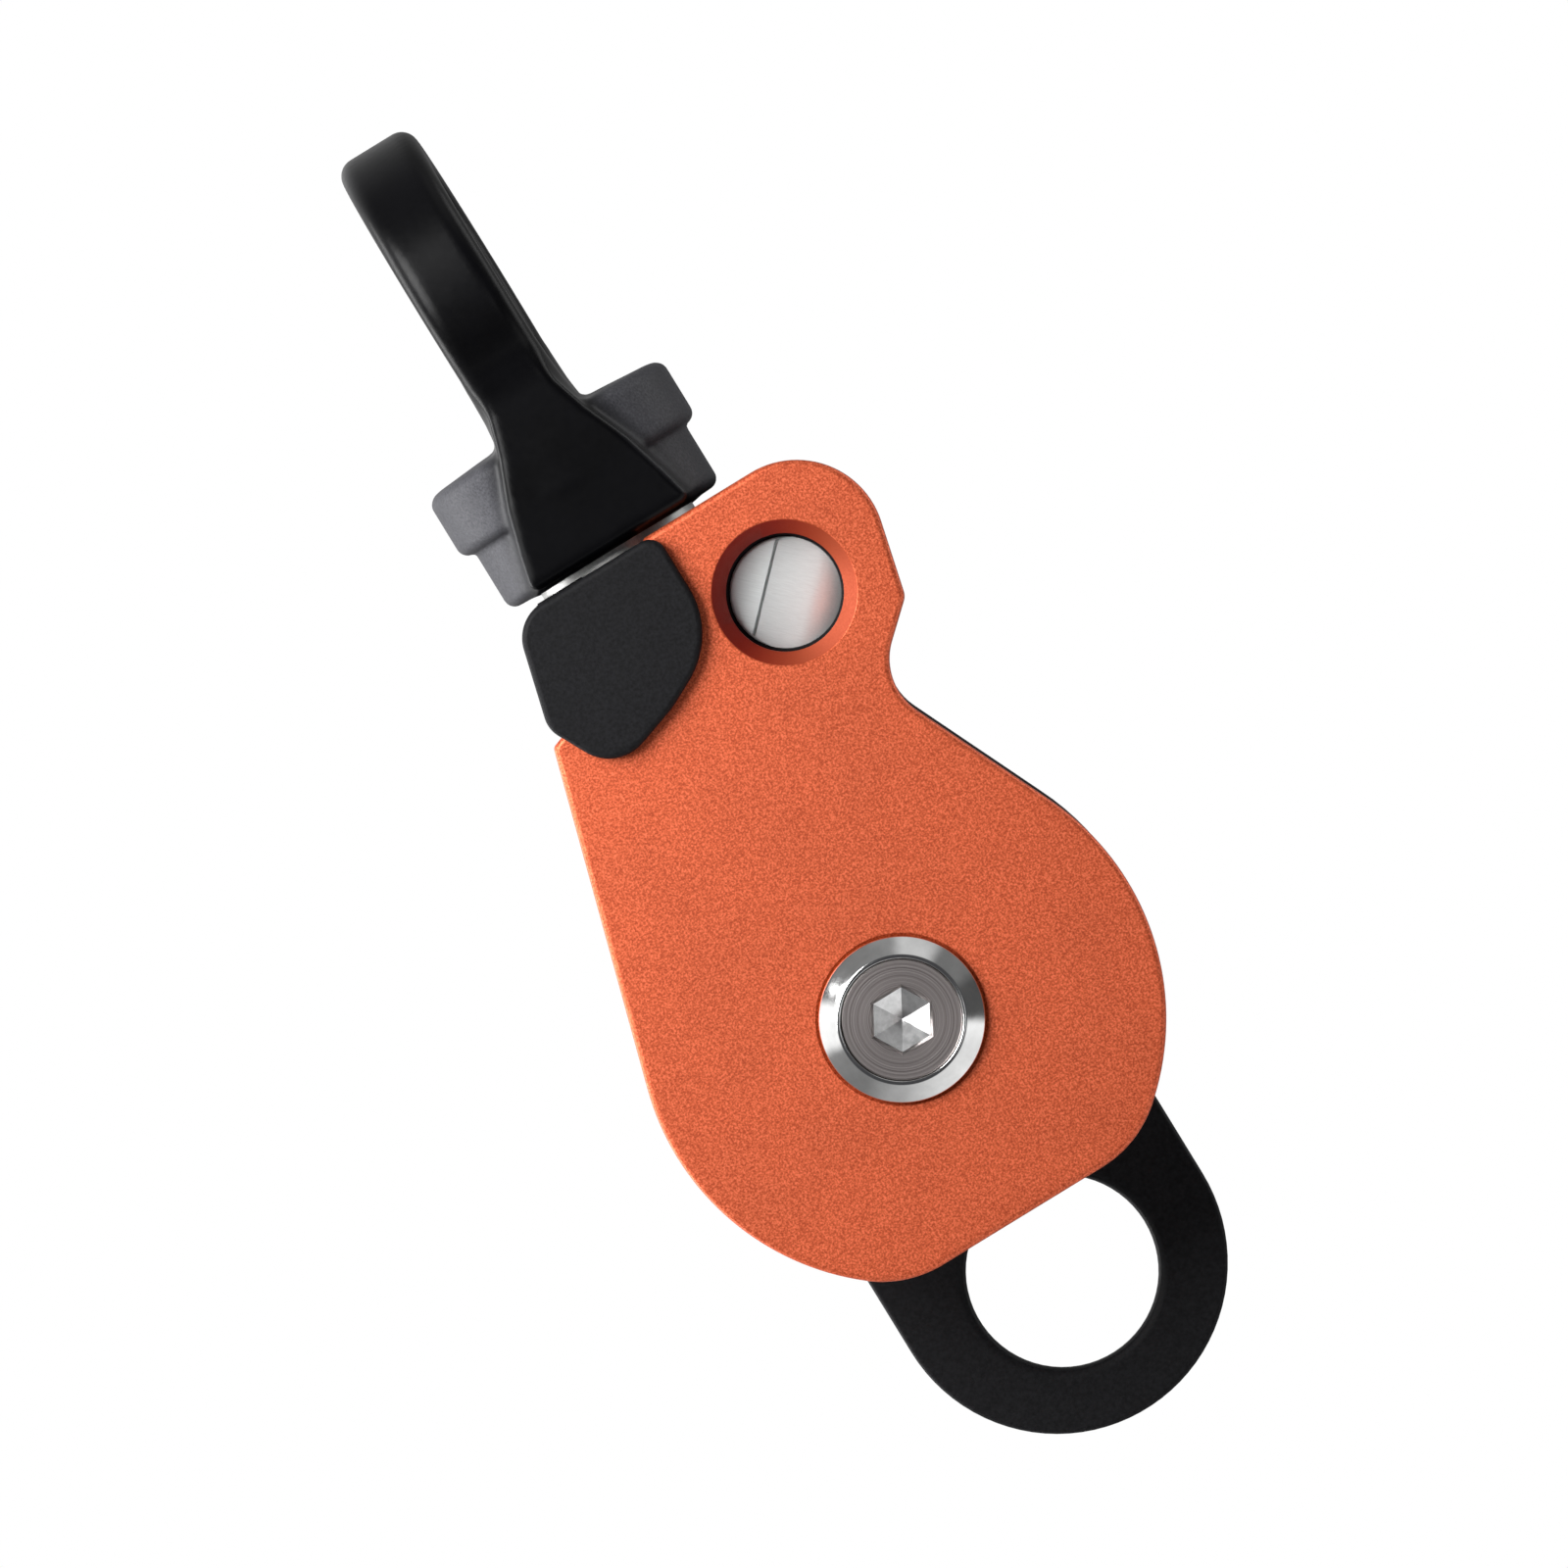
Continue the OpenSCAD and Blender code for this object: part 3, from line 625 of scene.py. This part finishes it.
# the plate's radius, how far its flat is below the axle, the flat's corner radius, and its top
PLATE_R, FLAT, FLAT_R, TOP = 26.9, 23.5, 12.0, 55.5
flat_x = math.sqrt((PLATE_R - FLAT_R) ** 2 - (FLAT - FLAT_R) ** 2)
turn = math.degrees(math.atan2(FLAT - FLAT_R, flat_x))
side_loop = fillet(  # (x, height, corner radius)
    arc(flat_x, FLAT_R - FLAT, FLAT_R, -90, -turn)
    + arc(0, 0, PLATE_R, -turn, 24.5)
    + [(15.77, 30.27, 6.35), (22.76, 36.57, 1.75), (27.34, TOP, 9.0), (2.8, TOP, 0.6)]
    + [(2.8, 44.91, 0.6)] + arc(0, 0, 45, 86.0, 110.9)[1:-1] + [(-15.83, 42.12, 0.7)]
    + arc(0, 0, PLATE_R, 163.8, 180 + turn)
    + arc(-flat_x, FLAT_R - FLAT, FLAT_R, 180 + turn, 270),
    4,
)
CHAMFER_OUT, CHAMFER_IN, CHAMFER_DEPTH = 0.13, 0.02, 0.15  # a hole's small chamfer, round its rim
LEAN_TO = math.radians(130)  # a leaned cone is deepest here, anticlockwise from +X
PAST = 1.0  # how far a cutter reaches past what it cuts


def hole_cutter(x, z, rim_r, wall_r, depth, lean=0.0):
    """What a countersunk hole takes away: a small chamfer, a cone from rim_r to wall_r, a bore.

    The cone is depth deep, give or take the lean on its deep and its shallow side.
    """
    chamfer_r, cone_end = rim_r + CHAMFER_OUT, PLATE_FRONT + depth
    path = [
        (0, PLATE_FRONT - PAST), (chamfer_r, PLATE_FRONT - PAST), (chamfer_r, PLATE_FRONT),
        (rim_r - CHAMFER_IN, PLATE_FRONT + CHAMFER_DEPTH),
        (wall_r, cone_end), (wall_r, PLATE_BACK + PAST), (0, PLATE_BACK + PAST),
    ]
    cutter = lathe("cutter", [(r, y, 0) for r, y in path], (x, z + AXLE_Z), 96)
    for v in cutter.data.vertices:
        if abs(v.co.y / MM - cone_end) < 0.01:
            round_at = math.atan2(v.co.z / MM - z - AXLE_Z, v.co.x / MM - x)
            v.co.y += lean * MM * math.cos(round_at - LEAN_TO)
    return cutter


def cut_by(obj, cutter):
    """The object's mesh without the cutter's volume. Both objects are used up."""
    cut = obj.modifiers.new("cut", "BOOLEAN")
    cut.object = cutter
    cut.solver = "EXACT"
    bpy.context.view_layer.update()
    bm = bmesh.new()
    bm.from_object(obj, bpy.context.evaluated_depsgraph_get())
    bpy.data.objects.remove(cutter)
    bpy.data.objects.remove(obj)
    return bm


RIM = 0.6  # the rounding of the plate's and the ear's rims
plate = object_from("blank", slab("plate", side_loop, PLATE_FRONT, PLATE_BACK, RIM))
plate = object_from("blank", cut_by(plate, hole_cutter(0, 0, 8.7, 8.3, 0.5)))
button_hole = hole_cutter(*BUTTON, BUTTON_RIM_R, 6.05, 1.7, 1.1)
plate = object_from("side_plate_rounded", cut_by(plate, button_hole), 30)
stand_for(flat_shaded(plate), "side_plate", "side_plate")

# depths of the ear's back and front, and of the front of the frame's neck behind the plate
EAR_BACK, EAR_FRONT, NECK_FRONT = PLATE_FRONT - 0.3, PLATE_FRONT - 1.9, PLATE_BACK + 0.35
EAR_CORNERS = [  # (x, height, corner radius)
    (-15.29, 43.94, 3.2), (-11.46, 36.58, 4.5), (-3.4, 39.2, 12.0), (4.5, 43.2, 9.0),
    (4.5, 55.3, 1.8), (-12.34, 55.3, 4.2),
]
# a plane through (x, height), and its outward direction (x, z), that trims the block's left side
TRIM_AT, TRIM_OUT = (-21.0, 25.5), (-0.936, 0.353)
# above this height and before this depth are the washer's seat and the block's rim beside it
SEAT_HEIGHT, SEAT_BACK = 55.25, 12
NECK_RIGHT, NECK_LIP = 3.2, 0.3  # the neck's right end in X, and how deep its front edges reach


def shave(bm, at, outward):
    """Cuts off what lies outward of a plane through a point, and closes the cut."""
    every = bm.verts[:] + bm.edges[:] + bm.faces[:]
    cut = bmesh.ops.bisect_plane(
        bm, geom=every, plane_co=[c * MM for c in at], plane_no=outward, clear_outer=True
    )
    rim = [e for e in cut["geom_cut"] if isinstance(e, bmesh.types.BMEdge)]
    bmesh.ops.triangle_fill(bm, use_beauty=True, edges=rim)


def without_ear(bm):
    """Cuts the ear off its neck, and trims the block's side so that it stays behind the ear."""
    bmesh.ops.remove_doubles(bm, verts=bm.verts, dist=CAD_MERGE)
    shave(bm, (0, EAR_BACK + 0.002, 0), (0, -1, 0))
    shave(bm, (TRIM_AT[0], 0, TRIM_AT[1] + AXLE_Z), (TRIM_OUT[0], 0, TRIM_OUT[1]))


def with_ear(bm):
    """Adds the ear again, as a flat piece with a rounded rim."""
    ear = slab("ear", fillet(EAR_CORNERS, 4), EAR_FRONT, EAR_BACK, RIM)
    mesh = bpy.data.meshes.new("ear")
    ear.to_mesh(mesh)
    ear.free()
    bm.from_mesh(mesh)
    bpy.data.meshes.remove(mesh)


def rounded_on_frame(edge):
    """All edges but those of the neck, of the washer's seat, and of the block's rim beside it."""
    seat, neck = (SEAT_HEIGHT + AXLE_Z) * MM, (NECK_FRONT + NECK_LIP) * MM
    if all(v.co.z > seat and v.co.y < SEAT_BACK * MM for v in edge.verts):
        return False
    return all(v.co.y > neck or v.co.x > NECK_RIGHT * MM for v in edge.verts)


softened("frame", "frame", 0.5, keep=rounded_on_frame, first=without_ear, last=with_ear)

# ---------------------------------------------------------------- turned pieces
softened("axle_sleeve", "frame", 0.12, 3, 20)
softened("axle_nut", "frame", 0.15, 2)
softened("swivel_washer", "frame", 0.12, 2)
softened("sheave", "sheave", 0.25, 3)

# ---------------------------------------------------------------- the axle's screw
KEY_R = 6 / math.sqrt(3)  # from the middle of a 6 mm key to its corners
WALL, POINT = 0.6, 2.4  # depths of the socket's wall and of the point below it
HEAD_T, SHANK_R = 5.65, 4  # the head's thickness, and the shank's radius
head_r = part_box("axle_screw")[1][0] / MM


def key_cutter():
    """What the hexagon socket takes away, with a six-sided point at its bottom."""
    bm = bmesh.new()
    angles = [math.radians(60 * k) for k in range(6)]
    corners = [(KEY_R * math.cos(a), KEY_R * math.sin(a)) for a in angles]
    rows = [
        [
            bm.verts.new((x * wide * MM, (SCREW_FACE + y) * MM, (z * wide + AXLE_Z) * MM))
            for x, z in corners
        ]
        for y, wide in ((-PAST, 1.05), (0, 1.05), (0.2, 1.0), (WALL, 0.95))
    ]
    tip = bm.verts.new((0, (SCREW_FACE + POINT) * MM, AXLE_Z * MM))
    bm.faces.new(rows[0])
    for k in range(6):
        n = (k + 1) % 6
        for a, b in zip(rows, rows[1:]):
            bm.faces.new((a[k], a[n], b[n], b[k]))
        bm.faces.new((rows[-1][k], rows[-1][n], tip))
    bmesh.ops.recalc_face_normals(bm, faces=bm.faces)
    return object_from("cutter", bm)


head_end = SCREW_FACE + HEAD_T
screw = lathe("blank", [
    (0, SCREW_FACE, 0), (head_r, SCREW_FACE, 0.2), (head_r, head_end, 0.1),
    (SHANK_R, head_end, 0), (SHANK_R, SCREW_END, 0.4), (0, SCREW_END, 0),
])
screw = object_from("axle_screw_turned", cut_by(screw, key_cutter()), 25)
stand_for(flat_shaded(screw), "axle_screw", "frame")

# ---------------------------------------------------------------- the button
BUTTON_R, HEAD_L = 5.7, 5.58  # the head's radius and length
STEM_R, GROOVE_R = 2.5, 1.9
RAMP_TURN = math.radians(-45)  # the way that the ramp falls, anticlockwise from +X
RAMP_START, RAMP_STEP, RAMP_SLOPE = -2.1, 0.16, 0.105
ROLL_OFF, ROLL_OFF_FROM = 0.10, 2.4  # how the ramp curves down more at its far side
DISC_MIDDLE, DISC_R = 0.8, 5.75  # a circle round the ramp, the middle counted along the fall
SLOT_DEPTH = 0.7
SLOT_HALF_WIDTHS = [0.16, 0.16, 0.14, 0.13, 0.12, 0.09, 0.05]
button_face, button_end = depths("button_plunger")
groove = depths("button_clip")


def button_prism(rows):
    """A closed solid through rows of four points: along the ramp's fall, across it, and depth."""
    bm = bmesh.new()
    cos, sin = math.cos(RAMP_TURN), math.sin(RAMP_TURN)
    rings = []
    for row in rows:
        ring = []
        for s, t, y in row:
            x = BUTTON[0] + s * cos - t * sin
            z = BUTTON[1] + s * sin + t * cos
            ring.append(bm.verts.new((x * MM, (button_face + y) * MM, (z + AXLE_Z) * MM)))
        rings.append(ring)
    for a, b in zip(rings, rings[1:]):
        band(bm, a, b)
    bm.faces.new(rings[0][::-1])
    bm.faces.new(rings[-1])
    bmesh.ops.recalc_face_normals(bm, faces=bm.faces)
    return object_from("cutter", bm)


def ramp_cutter():
    """What the ramp takes away: it starts at a small step, falls gently, then rolls off."""
    rows = []
    for s in np.concatenate([[RAMP_START], np.linspace(-1.6, 6.4, 33)]):
        fall = RAMP_STEP + RAMP_SLOPE * (s - RAMP_START)
        fall += ROLL_OFF * max(0, s - ROLL_OFF_FROM) ** 2
        half = math.sqrt(max(DISC_R ** 2 - (s - DISC_MIDDLE) ** 2, 0.01))
        rows.append([(s, -half, fall), (s, half, fall), (s, half, -PAST), (s, -half, -PAST)])
    return button_prism(rows)


def slot_cutter():
    """The dark line along the ramp's start, and a little way round its rim."""
    angles = [math.radians(a) for a in range(116, 96, -4)]
    rim = [(DISC_MIDDLE + DISC_R * math.cos(a), DISC_R * math.sin(a)) for a in angles]
    line = [(RAMP_START, -5.05), (RAMP_START, 4.97)] + rim
    rows = []
    for k, ((s, t), wide) in enumerate(zip(line, SLOT_HALF_WIDTHS)):
        a, b = line[max(0, k - 1)], line[min(len(line) - 1, k + 1)]
        way = math.hypot(b[0] - a[0], b[1] - a[1])
        ds, dt = (b[1] - a[1]) / way * wide, -(b[0] - a[0]) / way * wide
        rows.append([
            (s + side * ds, t + side * dt, y)
            for side, y in ((-1, SLOT_DEPTH), (1, SLOT_DEPTH), (1, -PAST), (-1, -PAST))
        ])
    return button_prism(rows)


neck = button_face + HEAD_L
button = lathe("blank", [
    (0, button_face, 0), (BUTTON_R, button_face, 0.35), (BUTTON_R, neck, 0.3), (STEM_R, neck, 0),
    (STEM_R, groove[0], 0.1), (GROOVE_R, groove[0], 0), (GROOVE_R, groove[1], 0),
    (STEM_R, groove[1], 0.1), (STEM_R, button_end, 0.2), (0, button_end, 0),
], (BUTTON[0], BUTTON_Z), 96)
button = object_from("blank", cut_by(button, ramp_cutter()), 20)
button = object_from("button_milled", cut_by(button, slot_cutter()), 20)
stand_for(flat_shaded(button), "button_plunger", "button")

# ---------------------------------------------------------------- floor, light, camera
FLOOR_Z, FLOOR_R = -0.25, 0.36  # in metres, as all places and sizes of the lights are
# Cards of light and shade, each from an angle in degrees anticlockwise from +X. The first ring is
# what the sides facing the camera mirror, the second what the sides facing away mirror.
FRONT_CARDS = [
    (-180, 0.30), (-150, 0.25), (-115, 0.65), (-76, 1.15), (-60, 1.0), (-36, 1.3),
    (-30, 0.10), (-4, 0.10), (4, 0.22), (28, 0.22), (36, 0.70), (60, 0.75), (68, 0.35),
    (104, 0.22), (134, 0.12), (140, 1.4), (170, 1.4), (177, 0.30),
]
BACK_CARDS = [
    (-180, 0.85), (-150, 0.60), (-110, 0.30), (-20, 0.22), (60, 0.30), (100, 0.65),
    (140, 0.95), (180, 0.85),
]
BY_CAMERA = (0.07, 0.07, 0.075)  # the shade round the camera

floor = bpy.data.meshes.new("floor")
bm = bmesh.new()
bmesh.ops.create_circle(bm, cap_ends=True, radius=FLOOR_R, segments=96)
for v in bm.verts:
    v.co.z = FLOOR_Z
bm.to_mesh(floor)
bm.free()
floor = bpy.data.objects.new("floor", floor)
scene.collection.objects.link(floor)
pale = Mat("pale_floor", (0.80, 0.80, 0.79), 0.7)
pale.to("Base Color", pale.ramp(pale.noise(0.02), (0.3, 0.78), (0.7, 0.82)))
floor.data.materials.append(pale.m)
floor.visible_glossy = False

scene.world = bpy.data.worlds.new("studio")
scene.world.use_nodes = True


def studio(tree):
    """White behind the object, cards of light and shade round it, and dark behind the camera."""
    tree.t.nodes.clear()
    direction = tree.t.nodes.new("ShaderNodeTexCoord").outputs["Generated"]
    way = tree.node("ShaderNodeSeparateXYZ", Vector=direction)
    turn = tree.math("DIVIDE", tree.math("ARCTAN2", way.outputs[2], way.outputs[0]), 2 * math.pi)
    share = tree.math("ADD", turn, 0.5)

    def ring(cards):
        return tree.ramp(share, *[(angle / 360 + 0.5, level) for angle, level in cards])

    front = tree.between(way.outputs[1], 0, 1, -0.45, -0.7)
    back = tree.between(way.outputs[1], 0, 1, 0.0, 0.4)
    around = tree.mix(back, tree.mix(front, ring(FRONT_CARDS), BY_CAMERA), ring(BACK_CARDS))
    seen = tree.t.nodes.new("ShaderNodeLightPath").outputs["Is Camera Ray"]
    light = tree.node("ShaderNodeBackground", Color=tree.mix(seen, around, (1.0, 1.0, 1.0)))
    out = tree.t.nodes.new("ShaderNodeOutputWorld")
    tree.t.links.new(light.outputs[0], out.inputs[0])


studio(Tree(scene.world.node_tree))

TARGET = Vector((2.27 * MM, PLATE_FRONT * MM, (26.7 + AXLE_Z) * MM))  # in the picture's middle


def softbox(name, where, size, power, size_y=None):
    """A soft light that shines at the target."""
    light = bpy.data.lights.new(name, "AREA")
    light.energy = power
    light.size = size
    if size_y:
        light.shape = "RECTANGLE"
        light.size_y = size_y
    obj = bpy.data.objects.new(name, light)
    obj.location = where
    obj.rotation_euler = (TARGET - Vector(where)).to_track_quat("-Z", "Y").to_euler()
    obj.visible_camera = False
    scene.collection.objects.link(obj)


softbox("key", (-0.14, -0.22, 0.10), 0.20, 1.56)
softbox("glint", (0.28, -1.14, -0.30), 0.30, 0.35)
softbox("left_strip", (-0.75, 0.20, 0.02), 0.35, 7, 0.8)
softbox("right_strip", (0.75, 0.20, 0.02), 0.35, 2, 0.8)

ROLL = math.radians(31.5)
AZIMUTH = math.radians(1.2)
DISTANCE, FIELD = 2.5, 0.1596  # from the target, and the width seen there, in metres
cam = bpy.data.cameras.new("camera")
cam.sensor_width = 36
cam.lens = cam.sensor_width * DISTANCE / FIELD
cam.clip_start = 0.01
cam.clip_end = 20
camera = bpy.data.objects.new("camera", cam)
back = Vector((math.sin(AZIMUTH), -math.cos(AZIMUTH), 0))
camera.location = TARGET + back * DISTANCE
up = Vector((math.sin(ROLL), 0, math.cos(ROLL)))
right = up.cross(back).normalized()
up = back.cross(right)
camera.rotation_euler = Matrix((right, up, back)).transposed().to_euler()
scene.collection.objects.link(camera)
scene.camera = camera
scene.view_settings.view_transform = "Standard"
